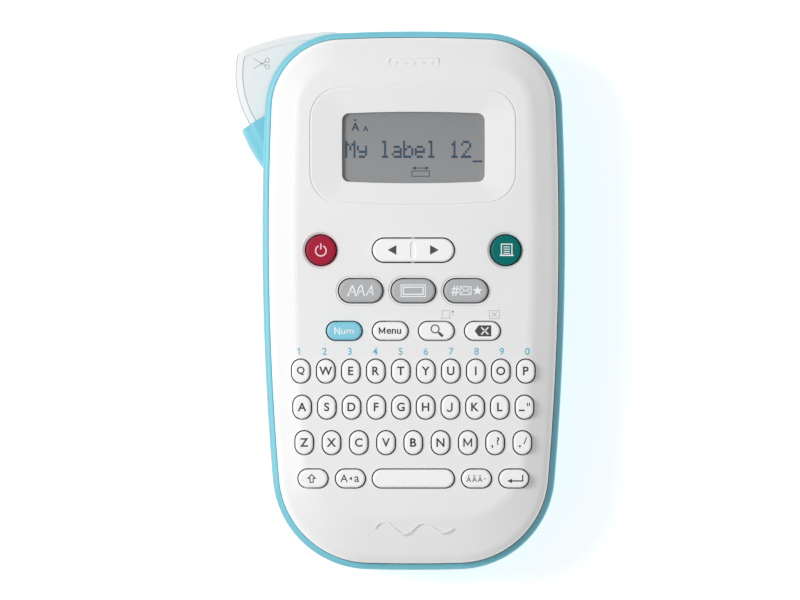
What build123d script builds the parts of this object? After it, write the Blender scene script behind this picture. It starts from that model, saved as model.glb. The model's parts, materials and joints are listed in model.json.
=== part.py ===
"""Handheld label maker, lying on its back.

Frame, in millimetres: +X to the right, +Y toward the display end, +Z out of the keypad. The origin
is the middle of the flat back. The front cover and the rear case make the body. Keys stand in the
cover over a rubber mat and the main board. Behind the board a floor plate carries the print drive,
and the bays for the tape cassette and the cells open to the back, under the rear cover.
"""

from build123d import *
import os
from math import acos, cos, pi, radians, sin, tan

os.makedirs("parts", exist_ok=True)

# ---------------------------------------------------------------- body outline
half_width = 57.7  # at the widest place
widest_y = 25.0  # where the body is widest
half_length = 102.6
side_bow = 1100.0  # radius of the gently bowed long sides
head_bow = 620.0  # radius of the bowed display end
foot_bow = 700.0  # radius of the bowed keypad end
head_corner = 29.0
foot_corner = 37.0

# ---------------------------------------------------------------- levels and walls
case_wall = 2.3
back_plate = 2.0
back_edge_round = 6.0
rim_z = 43.0  # top of the turquoise rim
rim_round = 1.8
cover_gap = 0.25  # between the rim and the front cover
cover_foot_z = 40.8  # the cover's skirt reaches down inside the rim
shoulder_z = 49.0  # where the cover's side wall turns into its sloping band
cover_top_z = 54.0
cover_wall = 2.0
band_inset = 12.2  # from the body outline to the flat plate of the cover
band_foot_extra = 7.6  # the band is wider at the keypad end
band_round = 7.0
shoulder_round = 5.0
floor_z = 20.5  # underside of the floor plate between the bays and the board
floor_plate = 2.0
board_z = 39.0
board_thick = 1.6
board_parts = (  # x, y, width, height, thickness, on the underside
    (8, 20, 14, 14, 1.6),  # processor
    (-14, 22, 9, 7, 1.4),  # memory
    (26, 4, 10, 10, 5.0),  # regulator coil
    (0, 46, 30, 4.4, 2.6),  # connector of the display
    (-20, -20, 8, 5, 5.5),  # connector of the cells
)

# ---------------------------------------------------------------- display
surround_w, surround_h, surround_corner = 78.2, 45.5, 11.4
surround_y = 58.9
surround_bow_w, surround_bow_h = 900.0, 420.0
groove_width, groove_depth = 0.8, 0.45
window_w, window_h, window_corner = 54.3, 27.2, 2.7
window_y = 58.2
window_bow_w, window_bow_h = 900.0, 540.0
dish_depth = 1.7
pad_margin = 3.0  # the cover is thicker under the display surround
pad_thick = 3.6
glass_gap = 0.2
glass_thick = 2.7
glass_margin = 3.6
housing_margin, housing_corner = 5.8, 1.5

# ---------------------------------------------------------------- keys
key_top_z = 55.7
key_gap = 0.5  # all round, between a key and its hole
key_round = 0.9
key_travel = 1.2
ear_reach = 1.0  # the ears under the cover stand out above and below each key
ear_top_z = 50.0
ear_thick = 1.3
ear_inset = 2.0
plunger_r = 2.0
plunger_stop = 0.3  # left between plunger and mat when a key is down
mat_thick = 1.4
skirt_h, skirt_wall, skirt_gap = 1.1, 0.5, 0.4

round_key_r = 5.65
round_key_x, control_y = 35.1, 19.15
round_dish, round_dish_depth = 1.4, 0.6
rocker_w, rocker_h = 30.8, 8.8
rocker_gap = 0.5
rocker_axis_z = 50.0
rocker_plunger_x = 10.0
rocker_pin_r, rocker_pin_fit = 0.9, 0.05
rocker_pin_reach = 2.0
rocker_lug_w, rocker_lug_t = 5.0, 1.8
rocker_lug_gap = 0.5
rocker_valley_w, rocker_valley_h, rocker_valley_depth = 2.2, 6.4, 0.45
recess_margin, recess_depth = 1.3, 0.4

letter_w, letter_h = 6.6, 8.7
small_h = 6.8
style_w, style_h, style_pitch, style_y = 16.5, 8.8, 20.0, 3.76
menu_w, menu_pitch, menu_y = 13.2, 17.5, -11.5
q_row_y, q_pitch = -26.8, 9.5
a_row_y, a_pitch = -40.5, 9.39
z_row_y, z_pitch = -54.0, 10.36
foot_row_y, foot_key_w, space_w = -67.6, 11.0, 30.8
space_plunger_x = 11.0

# ---------------------------------------------------------------- cutter
pivot_x, pivot_y = -31.3, 86.5
pivot_pin_r, pivot_fit = 2.5, 0.05
hub_r = 4.9
lever_r = 37.0
lever_low_z, lever_top_z = 5.0, 31.0
lever_plate, lever_wall = 2.5, 2.0
lever_corner = 2.6
lever_rim, lever_dip = 2.8, 0.5
lever_start = 166.7  # angle of the outer corner, seen from the pivot
lever_end = 213.5
lever_inner_r = 21.5
lever_swing = 12.0
notch_start, notch_top_z = 198.5, 19.0  # the lever is cut away here so that the tape can come out
tape_angle = 211.7  # direction in which the tape leaves
move_gap = 0.3  # left round what swings
room_gap = 0.6
blade_r = 25.0
blade_start = 199.6
blade_thick, blade_depth, blade_bevel = 0.8, 8.0, 1.5
blade_low_z, blade_top_z = 5.5, 20.0
holder_near, holder_far, holder_half = 2.5, 9.5, 2.4
anvil_thick, anvil_offset, anvil_inner_r, anvil_end_gap = 2.5, 0.35, 21.2, 0.8
roof_thick = 2.0
nub_root_r, nub_tip_r, nub_foot = 27.0, 40.7, (-55.3, 47.4)
nub_low_z, nub_top_z = 3.0, 34.5
nub_bow, nub_round, nub_foot_round = 0.9, 6.0, 2.8
room_r = 20.6  # inside this radius the case keeps its floor plate
room_start, room_upper_start, room_top_start = 150.0, 136.0, 60.0
room_upper_r, room_top_r = 16.8, 12.4
past_outline = 60.0  # from the pivot to well outside the body
beside_w, beside_h = 40.0, 90.0  # covers what lies to the right of the hub
core_r = 0.5  # inside the pivot pin
box_margin = 2.2
drive_room_r, drive_room_start, drive_room_end = 19.5, 211.0, 330.0
gate_end = 276.0  # the cassette bay is open to the print drive up to here
lever_top_right, lever_top_bevel, lever_top_middle = (3.1, 15.0), (1.5, 16.25), (-17.0, 14.5)
lever_edge_round = 0.9
lever_web_angle, lever_hub_start, lever_hub_middle = 180.0, 205.0, 282.0

# ---------------------------------------------------------------- print drive
nip_r = 12.0  # from the pivot to the nip, along the tape
roller_r, roller_low_z, roller_len = 4.5, 4.7, 14.0
roller_shaft_r, shaft_fit = 1.5, 0.05
bush_r, bush_h = 3.0, 2.2
gear_module, platen_teeth, pinion_teeth = 0.5, 24, 10
gear_slack = 0.1  # extra centre distance
flank_gap = 0.06
gear_z, gear_width = 23.0, 3.0
shaft_low_z, shaft_top_z = 2.15, 26.6
mesh_angle = -60.0  # from the platen axis to the motor axis
motor_r, motor_low_z, motor_len = 6.0, 27.2, 10.0
spindle_r, spindle_len = 0.75, 8.5
motor_post_r, motor_post_at, motor_post_turn = 1.2, 4.9, 50.0
motor_round, motor_cap_r, motor_cap_h = 0.8, 2.6, 0.9
tab_at, tab_w, tab_l, tab_h = 4.2, 0.5, 1.6, 1.4
head_w, head_t, head_gap = 10.0, 3.0, 0.3
head_low_z, head_top_gap = 4.0, 1.5
sink_w, sink_t, sink_flange = 13.0, 1.4, 4.5

# ---------------------------------------------------------------- bays, cassette, cells
bay_half_w, bay_foot_y, bay_head_y, bay_corner = 47.0, -74.0, 80.0, 12.0
bay_wall_out, ledge = 1.0, 1.8
lid_thick, lid_gap, lid_round = 2.0, 0.3, 0.6
thumb_r, thumb_depth = 8.0, 1.0
grip_w, grip_bar, grip_depth, grip_pitch, grip_count, grip_from_edge = 24.0, 1.4, 0.6, 3.2, 5, 14.0
cassette_x0, cassette_x1, cassette_y0, cassette_y1 = -33.5, 43.0, 19.5, 76.2
cassette_thick, cassette_corner, cassette_low_z = 16.8, 5.0, 3.1
cassette_round = 0.8
reel_r, reel_margin, reel_hub_r, reel_floor = 20.0, 4.0, 5.5, 0.6
ribbon_at, ribbon_hub_r, hub_depth = 12.0, 4.0, 12.0
latch_w, latch_h, latch_drop, latch_depth = 12.0, 8.0, 16.0, 0.8
cell_r, cell_len, cell_nub_r, cell_nub_len = 5.25, 43.7, 1.9, 0.8
cell_count, cell_gap, cell_mid_y, cell_low_z = 6, 0.5, -43.0, 3.4
cell_end_room = 4.4
saddle_wall, saddle_gap = 1.6, 0.25
contact_thick, contact_h = 0.4, 9.0
plus_spring, minus_spring = (1.6, 2.2), (2.4, 3.8)  # radii at the cell and at the wall
spring_gap = 0.05

# ---------------------------------------------------------------- screws
boss_r, boss_hole_r = 3.5, 1.45
screw_r, screw_head_r, screw_head_h = 1.25, 2.4, 1.8
screw_seat_z, screw_len = 33.0, 14.0
screw_fit = 0.02
cross_len, cross_w, cross_depth = 3.0, 0.7, 1.0
well_gap = 0.3
cover_boss_r = 2.8
bay_screws = [(-44.0, 8.0), (44.0, 8.0)]
back_screws = [(-10.0, 88.0), (36.0, 87.0), (-28.0, -82.0), (28.0, -82.0)]

# ---------------------------------------------------------------- derived
cover_inset = case_wall + cover_gap
plate_z = cover_top_z - cover_wall
pad_z = cover_top_z - pad_thick
board_top = board_z + board_thick
mat_top = board_top + mat_thick
plunger_z = mat_top + key_travel + plunger_stop
glass_top = pad_z - glass_gap
ledge_z = lid_thick + move_gap
plate_low = lever_top_z - lever_plate
room_low_z = lever_low_z - 1.5
room_top_z = lever_top_z + 0.5
roof_top = room_top_z + roof_thick
cell_pitch = 2 * cell_r + cell_gap
anvil_outer_r = lever_r - lever_wall - anvil_end_gap
pivot = Vector(pivot_x, pivot_y)


def toward(angle, distance, start=pivot):
    """Point at a distance from start, in the direction of an angle in degrees."""
    return start + Vector(cos(radians(angle)), sin(radians(angle))) * distance


tape_dir = toward(tape_angle, 1.0, Vector(0, 0))
tape_side = toward(tape_angle + 90.0, 1.0, Vector(0, 0))
nip = toward(tape_angle, nip_r)
platen = nip - tape_side * roller_r
gear_distance = gear_module * (platen_teeth + pinion_teeth) / 2 + gear_slack
motor = toward(mesh_angle, gear_distance, platen)


# ---------------------------------------------------------------- shared profiles
def body_outline(z, inset=0.0, foot_extra=0.0):
    """The body's outline, moved inwards by inset; foot_extra moves only the keypad end."""
    side_r = side_bow - inset
    head_r = head_bow - inset
    foot_r = foot_bow - inset
    with BuildSketch(Plane.XY.offset(z), mode=Mode.PRIVATE) as outline:
        with Locations((half_width - side_bow, widest_y)):
            Circle(side_r)
        with Locations((side_bow - half_width, widest_y)):
            Circle(side_r, mode=Mode.INTERSECT)
        with Locations((0, half_length - head_bow)):
            Circle(head_r, mode=Mode.INTERSECT)
        with Locations((0, foot_bow + foot_extra - half_length)):
            Circle(foot_r, mode=Mode.INTERSECT)
        fillet(outline.vertices().group_by(Axis.Y)[-1], head_corner - inset)
        fillet(outline.vertices().group_by(Axis.Y)[0], foot_corner - inset)
    return outline.sketch


def barrel(z, width, height, bow_w, bow_h, corner, y):
    """A rounded rectangle whose four sides bow out a little."""
    with BuildSketch(Plane.XY.offset(z), mode=Mode.PRIVATE) as outline:
        with Locations((width / 2 - bow_w, y)):
            Circle(bow_w)
        with Locations((bow_w - width / 2, y)):
            Circle(bow_w, mode=Mode.INTERSECT)
        with Locations((0, y + height / 2 - bow_h)):
            Circle(bow_h, mode=Mode.INTERSECT)
        with Locations((0, y - height / 2 + bow_h)):
            Circle(bow_h, mode=Mode.INTERSECT)
        fillet(outline.vertices(), corner)
    return outline.sketch


def pill(z, x, y, width, height):
    """A slot with full round ends, along its longer side; a circle when both are equal."""
    with BuildSketch(Plane.XY.offset(z), mode=Mode.PRIVATE) as outline:
        with Locations((x, y)):
            if width > height:
                SlotOverall(width, height)
            elif height > width:
                SlotOverall(height, width, rotation=90)
            else:
                Circle(width / 2)
    return outline.sketch


def rounded(z, x0, x1, y0, y1, corner):
    """A rounded rectangle between two corners."""
    with BuildSketch(Plane.XY.offset(z), mode=Mode.PRIVATE) as outline:
        with Locations(((x0 + x1) / 2, (y0 + y1) / 2)):
            RectangleRounded(x1 - x0, y1 - y0, corner)
    return outline.sketch


def sector(z, inner_r, outer_r, start, end):
    """A piece of a ring round the lever's pivot, between two angles."""
    middle = (start + end) / 2
    with BuildSketch(Plane.XY.offset(z), mode=Mode.PRIVATE) as outline:
        with BuildLine():
            out_arc = ThreePointArc(
                toward(start, outer_r), toward(middle, outer_r), toward(end, outer_r)
            )
            in_arc = ThreePointArc(
                toward(start, inner_r), toward(middle, inner_r), toward(end, inner_r)
            )
            Line(out_arc @ 0, in_arc @ 0)
            Line(out_arc @ 1, in_arc @ 1)
        make_face()
    return outline.sketch


def strip(z, along_from, along_to, side_from, side_to):
    """A rectangle beside the tape's line: along the tape from the pivot, and to its side."""
    corners = [
        pivot + tape_dir * along + tape_side * side
        for along, side in (
            (along_from, side_from),
            (along_to, side_from),
            (along_to, side_to),
            (along_from, side_to),
        )
    ]
    with BuildSketch(Plane.XY.offset(z), mode=Mode.PRIVATE) as outline:
        with BuildLine():
            Polyline(*corners, close=True)
        make_face()
    return outline.sketch


def disc(z, centre, radius):
    with BuildSketch(Plane.XY.offset(z), mode=Mode.PRIVATE) as outline:
        with Locations((centre.X, centre.Y)):
            Circle(radius)
    return outline.sketch


def gear_outline(z, centre, teeth, tooth_at):
    """An involute spur gear with a tooth at the angle tooth_at, thinned by flank_gap."""
    pitch_r = gear_module * teeth / 2
    base_r = pitch_r * cos(radians(20))
    tip_r = pitch_r + 0.9 * gear_module
    root_r = pitch_r - 1.25 * gear_module
    half_at_pitch = pi / (2 * teeth) - flank_gap / pitch_r

    def involute(radius):
        lean = acos(min(1.0, base_r / radius))
        return tan(lean) - lean

    def half_angle(radius):
        return half_at_pitch + involute(pitch_r) - involute(radius)

    flank = [max(base_r, root_r), pitch_r, (pitch_r + tip_r) / 2, tip_r]
    points = []
    for number in range(teeth):
        middle = radians(tooth_at) + 2 * pi * number / teeth
        rising = [(root_r, middle - half_angle(flank[0]))]
        rising += [(radius, middle - half_angle(radius)) for radius in flank]
        falling = [(radius, 2 * middle - angle) for radius, angle in reversed(rising)]
        points += rising + falling
    with BuildSketch(Plane.XY.offset(z), mode=Mode.PRIVATE) as outline:
        with BuildLine():
            Polyline(
                *[(centre.X + r * cos(a), centre.Y + r * sin(a)) for r, a in points],
                close=True,
            )
        make_face()
    return outline.sketch


def finish(builder, label):
    """Label a finished piece and write its file."""
    builder.part.label = label
    export_step(builder.part, f"parts/{label}.step")


# ---------------------------------------------------------------- key table
# name, x, y, width, height, plunger places along x
keys = [
    ("key_power", -round_key_x, control_y, 2 * round_key_r, 2 * round_key_r, (0,)),
    ("key_print", round_key_x, control_y, 2 * round_key_r, 2 * round_key_r, (0,)),
]
for place, name in enumerate(("style", "frame", "symbol")):
    keys.append((f"key_{name}", (place - 1) * style_pitch, style_y, style_w, style_h, (0,)))
for place, name in enumerate(("num", "menu", "search", "delete")):
    keys.append((f"key_{name}", (place - 1.5) * menu_pitch, menu_y, menu_w, small_h, (0,)))
letter_rows = [
    (tuple("qwertyuiop"), q_pitch, q_row_y),
    (tuple("asdfghjkl") + ("dash",), a_pitch, a_row_y),
    (tuple("zxcvbnm") + ("comma", "period"), z_pitch, z_row_y),
]
for names, pitch, row_y in letter_rows:
    for place, name in enumerate(names):
        x = (place - (len(names) - 1) / 2) * pitch
        keys.append((f"key_{name}", x, row_y, letter_w, letter_h, (0,)))
for name, x in (("shift", -38.1), ("caps", -23.9), ("accent", 24.0), ("enter", 38.2)):
    keys.append((f"key_{name}", x, foot_row_y, foot_key_w, small_h, (0,)))
space_plungers = (-space_plunger_x, 0, space_plunger_x)
keys.append(("key_space", 0, foot_row_y, space_w, small_h, space_plungers))
style_keys = [key for key in keys if key[4] == style_h and key[3] == style_w]
round_keys = [key for key in keys if key[3] == key[4]]

# ---------------------------------------------------------------- front cover
with BuildPart() as front_cover:
    extrude(body_outline(cover_foot_z, cover_inset), amount=shoulder_z - cover_foot_z)
    loft(
        [
            body_outline(shoulder_z, cover_inset),
            body_outline(cover_top_z, band_inset, band_foot_extra),
        ],
        ruled=True,
    )
    fillet(front_cover.edges().group_by(Axis.Z)[-1], band_round)
    fillet(
        front_cover.edges().filter_by_position(Axis.Z, shoulder_z - 0.01, shoulder_z + 0.01),
        shoulder_round,
    )
    # hollow, with an even wall
    inner = cover_inset + cover_wall
    inner_shoulder_z = shoulder_z - cover_wall / 2
    extrude(
        body_outline(cover_foot_z, inner),
        amount=inner_shoulder_z - cover_foot_z,
        mode=Mode.SUBTRACT,
    )
    loft(
        [
            body_outline(inner_shoulder_z, inner),
            body_outline(plate_z, band_inset + 0.6, band_foot_extra),
        ],
        ruled=True,
        mode=Mode.SUBTRACT,
    )
    # thicker under the display, with a shallow dish down to the window and a groove round it
    pad_x = surround_w / 2 + pad_margin
    pad_y = surround_h / 2 + pad_margin
    pad_span = (-pad_x, pad_x, surround_y - pad_y, surround_y + pad_y)
    extrude(rounded(pad_z, *pad_span, surround_corner), amount=plate_z - pad_z + 0.5)
    window = (window_w, window_h, window_bow_w, window_bow_h, window_corner, window_y)
    extrude(barrel(pad_z, *window), amount=pad_thick, mode=Mode.SUBTRACT)
    dish_z = cover_top_z - dish_depth
    dish_w, dish_h = surround_w - groove_width, surround_h - groove_width
    loft(
        [
            barrel(
                cover_top_z,
                dish_w,
                dish_h,
                surround_bow_w,
                surround_bow_h,
                surround_corner - groove_width / 2,
                surround_y,
            ),
            barrel(dish_z, *window),
        ],
        ruled=True,
        mode=Mode.SUBTRACT,
    )
    groove_floor = cover_top_z - groove_depth
    groove_shape = (surround_bow_w, surround_bow_h)
    with BuildSketch(Plane.XY.offset(groove_floor)):
        for half, mode in ((groove_width / 2, Mode.ADD), (-groove_width / 2, Mode.SUBTRACT)):
            size = (surround_w + 2 * half, surround_h + 2 * half)
            add(barrel(0, *size, *groove_shape, surround_corner + half, surround_y), mode=mode)
    extrude(amount=groove_depth, mode=Mode.SUBTRACT)
    # key holes
    for name, x, y, width, height, plungers in keys:
        extrude(
            pill(shoulder_z, x, y, width + 2 * key_gap, height + 2 * key_gap),
            amount=cover_top_z - shoulder_z,
            mode=Mode.SUBTRACT,
        )
    extrude(
        pill(shoulder_z, 0, control_y, rocker_w + 2 * rocker_gap, rocker_h + 2 * rocker_gap),
        amount=cover_top_z - shoulder_z,
        mode=Mode.SUBTRACT,
    )
    for name, x, y, width, height, plungers in round_keys:
        loft(
            [
                pill(cover_top_z, x, y, width + 2 * round_dish, height + 2 * round_dish),
                pill(
                    cover_top_z - round_dish_depth,
                    x,
                    y,
                    width + 2 * key_gap,
                    height + 2 * key_gap,
                ),
            ],
            ruled=True,
            mode=Mode.SUBTRACT,
        )
    for name, x, y, width, height, plungers in style_keys:
        wide = 2 * recess_margin
        narrow = wide - recess_depth
        loft(
            [
                pill(cover_top_z, x, y, width + wide, height + wide),
                pill(cover_top_z - recess_depth, x, y, width + narrow, height + narrow),
            ],
            ruled=True,
            mode=Mode.SUBTRACT,
        )
    # lugs for the rocker's pins
    lug_y = rocker_h / 2 + rocker_lug_gap
    lug_low_z = rocker_axis_z - 1.8
    for side in (-1, 1):
        y_mid = control_y + side * (lug_y + rocker_lug_t / 2)
        with Locations((0, y_mid, (lug_low_z + plate_z) / 2 + 0.25)):
            Box(rocker_lug_w, rocker_lug_t, plate_z - lug_low_z + 0.5)
    with Locations(Location((0, control_y, rocker_axis_z), (90, 0, 0))):
        Cylinder(
            rocker_pin_r + rocker_pin_fit,
            2 * (lug_y + rocker_lug_t),
            mode=Mode.SUBTRACT,
        )
    # screw bosses
    boss_foot_z = board_top + 0.1
    for x, y in bay_screws + back_screws:
        extrude(disc(boss_foot_z, Vector(x, y), cover_boss_r), amount=plate_z + 0.3 - boss_foot_z)
        extrude(
            disc(boss_foot_z, Vector(x, y), screw_r + screw_fit),
            amount=screw_seat_z + screw_len + 0.5 - boss_foot_z,
            mode=Mode.SUBTRACT,
        )
finish(front_cover, "front_cover")

# ---------------------------------------------------------------- keys
for name, x, y, width, height, plungers in keys:
    with BuildPart() as key:
        cap_z = ear_top_z - ear_thick
        extrude(pill(cap_z, x, y, width, height), amount=key_top_z - cap_z)
        fillet(key.edges().group_by(Axis.Z)[-1], key_round)
        ear_z = ear_top_z - ear_thick / 2
        with Locations((x, y, ear_z)):
            Box(width - 2 * ear_inset, height + 2 * ear_reach, ear_thick)
        for place in plungers:
            extrude(
                disc(plunger_z, Vector(x + place, y), plunger_r),
                amount=cap_z - plunger_z,
            )
    finish(key, name)

with BuildPart() as key_cursor:
    cap_foot_z = rocker_axis_z - rocker_pin_r - 0.6
    extrude(pill(cap_foot_z, 0, control_y, rocker_w, rocker_h), amount=key_top_z - cap_foot_z)
    fillet(key_cursor.edges().group_by(Axis.Z)[-1], key_round)
    extrude(
        pill(
            key_top_z - rocker_valley_depth,
            0,
            control_y,
            rocker_valley_w,
            rocker_valley_h,
        ),
        amount=rocker_valley_depth,
        mode=Mode.SUBTRACT,
    )
    with Locations(Location((0, control_y, rocker_axis_z), (90, 0, 0))):
        Cylinder(rocker_pin_r, rocker_h + 2 * rocker_pin_reach)
    for side in (-1, 1):
        extrude(
            disc(plunger_z, Vector(side * rocker_plunger_x, control_y), plunger_r),
            amount=cap_foot_z - plunger_z,
        )
finish(key_cursor, "key_cursor")

# ---------------------------------------------------------------- mat, board, display
mat_x, mat_foot_y, mat_head_y, mat_corner = 47.4, -73.6, 27.6, 9.0
with BuildPart() as keypad_mat:
    extrude(rounded(board_top, -mat_x, mat_x, mat_foot_y, mat_head_y, mat_corner), amount=mat_thick)
    skirt_places = [(x + place, y) for name, x, y, w, h, plungers in keys for place in plungers]
    skirt_places += [(side * rocker_plunger_x, control_y) for side in (-1, 1)]
    with BuildSketch(Plane.XY.offset(mat_top)):
        with Locations(*skirt_places):
            Circle(plunger_r + skirt_gap + skirt_wall)
            Circle(plunger_r + skirt_gap, mode=Mode.SUBTRACT)
    extrude(amount=skirt_h)
    for x, y in bay_screws:
        extrude(
            disc(board_top, Vector(x, y), cover_boss_r + 0.5), amount=mat_thick, mode=Mode.SUBTRACT
        )
finish(keypad_mat, "keypad_mat")

board_inset = cover_inset + cover_wall + 0.8
with BuildPart() as main_board:
    extrude(body_outline(board_z, board_inset), amount=board_thick)
    for x, y in bay_screws + back_screws:
        extrude(
            disc(board_z, Vector(x, y), boss_hole_r), amount=board_thick, mode=Mode.SUBTRACT
        )
    for x, y, width, height, thick in board_parts:
        with Locations((x, y, board_z - thick / 2)):
            Box(width, height, thick)
finish(main_board, "main_board")

with BuildPart() as lcd_module:
    housing_x = window_w / 2 + housing_margin
    housing_y = window_h / 2 + housing_margin
    housing_span = (-housing_x, housing_x, window_y - housing_y, window_y + housing_y)
    housing_top = glass_top - glass_thick
    extrude(rounded(board_top, *housing_span, housing_corner), amount=housing_top - board_top)
    glass_w = window_w + 2 * glass_margin
    glass_h = window_h + 2 * glass_margin
    with Locations((0, window_y, housing_top + glass_thick / 2)):
        Box(glass_w, glass_h, glass_thick)
finish(lcd_module, "lcd_module")

# ---------------------------------------------------------------- rear case
bay = (-bay_half_w, bay_half_w, bay_foot_y, bay_head_y)


def bay_outline(z, grow):
    """The opening in the back, grown on every side."""
    x0, x1, y0, y1 = bay
    return rounded(z, x0 - grow, x1 + grow, y0 - grow, y1 + grow, bay_corner + grow)


def lever_room(z, wide):
    """The space that the swinging lever needs outside the hub, down to the inner radius wide."""
    with BuildSketch(Plane.XY.offset(z), mode=Mode.PRIVATE) as room:
        upper_r = min(wide, room_upper_r)
        top_r = min(wide, room_top_r)
        add(sector(0, wide, past_outline, room_start, tape_angle + 0.3))
        add(sector(0, upper_r, past_outline, room_upper_start, room_start + 1.0))
        add(sector(0, top_r, past_outline, room_top_start, room_upper_start + 1.0))
        with Locations((pivot_x + hub_r + room_gap + beside_w / 2, pivot_y)):
            Rectangle(beside_w, beside_h, mode=Mode.SUBTRACT)
    return room.sketch


def cutter_box(z, inset, margin):
    """Outline of the box over the lever: inset from the body, with a margin round the lever."""
    with BuildSketch(Plane.XY.offset(z), mode=Mode.PRIVATE) as box:
        add(sector(0, core_r, lever_r + margin, room_top_start, swing_end + margin))
        with Locations((pivot_x + hub_r + margin + beside_w / 2, pivot_y)):
            Rectangle(beside_w, beside_h, mode=Mode.SUBTRACT)
        add(body_outline(0, inset), mode=Mode.INTERSECT)
    return box.sketch


swing_end = lever_end + lever_swing + 1.0
cell_end = (cell_len + cell_nub_len) / 2 + cell_end_room
cell_axis_z = cell_low_z + cell_r
cells_x = [(number - (cell_count - 1) / 2) * cell_pitch for number in range(cell_count)]

# the nub beside the cutter: its upper face is the guide that the tape slides along
nub_tip = toward(tape_angle, nub_tip_r)
nub_root = toward(tape_angle, nub_root_r)
nub_lower = Vector(*nub_foot)
nub_out = Vector(nub_tip.Y - nub_lower.Y, nub_lower.X - nub_tip.X).normalized() * -nub_bow
with BuildPart() as nub:
    with BuildSketch(Plane.XY.offset(nub_low_z)):
        with BuildLine():
            Line(nub_root, nub_tip)
            ThreePointArc(nub_tip, (nub_tip + nub_lower) * 0.5 + nub_out, nub_lower)
            Line(nub_lower, nub_root)
        make_face()
    extrude(amount=nub_top_z - nub_low_z)
    fillet(nub.edges().filter_by(GeomType.CIRCLE).sort_by(Axis.Z)[-1], nub_round)
    fillet(nub.edges().filter_by(GeomType.CIRCLE).sort_by(Axis.Z)[0], nub_foot_round)

with BuildPart() as case_hollow:
    extrude(body_outline(back_plate, case_wall), amount=rim_z - back_plate)
    fillet(case_hollow.edges().group_by(Axis.Z)[0], back_edge_round - case_wall)

with BuildPart() as rear_case:
    extrude(body_outline(0), amount=rim_z)
    fillet(rear_case.edges().group_by(Axis.Z)[0], back_edge_round)
    fillet(rear_case.edges().group_by(Axis.Z)[-1], rim_round)
    add(case_hollow.part, mode=Mode.SUBTRACT)
    # floor plate, and the wall round the bays with its ledge for the rear cover
    extrude(body_outline(floor_z, case_wall / 2), amount=floor_plate)
    bay_wall_z = back_plate / 2
    extrude(bay_outline(bay_wall_z, bay_wall_out), amount=floor_z - bay_wall_z)
    extrude(bay_outline(0, -ledge), amount=floor_z, mode=Mode.SUBTRACT)
    extrude(bay_outline(0, 0), amount=ledge_z, mode=Mode.SUBTRACT)
    extrude(disc(0, Vector(0, bay_foot_y), thumb_r), amount=thumb_depth, mode=Mode.SUBTRACT)
    # end walls and saddles of the cells
    for side in (-1, 1):
        wall_y = cell_mid_y + side * (cell_end + saddle_wall / 2)
        with Locations((0, wall_y, (cell_low_z + floor_z) / 2)):
            Box(2 * (bay_half_w - ledge), saddle_wall, floor_z - cell_low_z)
        with Locations((0, cell_mid_y + side * cell_len / 3, (cell_axis_z + floor_z) / 2)):
            Box(2 * (bay_half_w - ledge), saddle_wall, floor_z - cell_axis_z)
    for x in cells_x:
        with Locations(Location((x, cell_mid_y, cell_axis_z), (90, 0, 0))):
            Cylinder(cell_r + saddle_gap, 2 * cell_end, mode=Mode.SUBTRACT)
    add(nub.part)
    # box over the lever, then the room that the lever swings in
    extrude(cutter_box(floor_z, case_wall / 2, box_margin), amount=roof_top - floor_z)
    extrude(
        cutter_box(floor_z + floor_plate, case_wall, room_gap),
        amount=room_top_z - floor_z - floor_plate,
        mode=Mode.SUBTRACT,
    )
    extrude(
        sector(floor_z + floor_plate, core_r, drive_room_r, drive_room_start, drive_room_end),
        amount=room_top_z - floor_z - floor_plate,
        mode=Mode.SUBTRACT,
    )
    low_room_top = plate_low - move_gap
    extrude(lever_room(room_low_z, room_r), amount=low_room_top - room_low_z, mode=Mode.SUBTRACT)
    extrude(
        lever_room(low_room_top, core_r), amount=room_top_z - low_room_top, mode=Mode.SUBTRACT
    )
    pocket_low_z = notch_top_z - move_gap
    extrude(
        sector(pocket_low_z, room_r, lever_r + room_gap, tape_angle, swing_end),
        amount=room_top_z - pocket_low_z,
        mode=Mode.SUBTRACT,
    )
    extrude(
        disc(room_low_z, pivot, hub_r + room_gap),
        amount=room_top_z - room_low_z,
        mode=Mode.SUBTRACT,
    )
    extrude(
        sector(ledge_z, hub_r, room_r, room_start, gate_end),
        amount=floor_z - ledge_z,
        mode=Mode.SUBTRACT,
    )
    # pivot pin with its shoulder, anvil, platen bush, motor posts
    extrude(disc(back_plate, pivot, pivot_pin_r), amount=room_top_z - back_plate)
    extrude(disc(back_plate, pivot, hub_r - 0.5), amount=lever_low_z - move_gap - back_plate)
    extrude(
        strip(
            back_plate,
            anvil_inner_r,
            anvil_outer_r,
            anvil_offset,
            anvil_offset + anvil_thick,
        ),
        amount=low_room_top - back_plate,
    )
    extrude(disc(back_plate, platen, bush_r), amount=bush_h)
    extrude(
        disc(back_plate, platen, roller_shaft_r + shaft_fit),
        amount=floor_z + floor_plate - back_plate,
        mode=Mode.SUBTRACT,
    )
    for turn in (-motor_post_turn, motor_post_turn):
        post = toward(mesh_angle + turn, motor_post_at, motor)
        extrude(
            disc(floor_z + floor_plate, post, motor_post_r),
            amount=motor_low_z - floor_z - floor_plate,
        )
    extrude(
        disc(room_top_z, motor, motor_r + screw_fit), amount=roof_thick, mode=Mode.SUBTRACT
    )
    # screw bosses, with deep wells for the heads
    boss_top = board_z - 0.1
    for x, y in bay_screws:
        extrude(disc(floor_z, Vector(x, y), boss_r), amount=boss_top - floor_z)
    for x, y in back_screws:
        extrude(disc(0, Vector(x, y), boss_r), amount=boss_top)
    for x, y in bay_screws + back_screws:
        extrude(
            disc(0, Vector(x, y), screw_head_r + well_gap),
            amount=screw_seat_z,
            mode=Mode.SUBTRACT,
        )
        extrude(disc(0, Vector(x, y), boss_hole_r), amount=boss_top, mode=Mode.SUBTRACT)
finish(rear_case, "rear_case")

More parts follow.
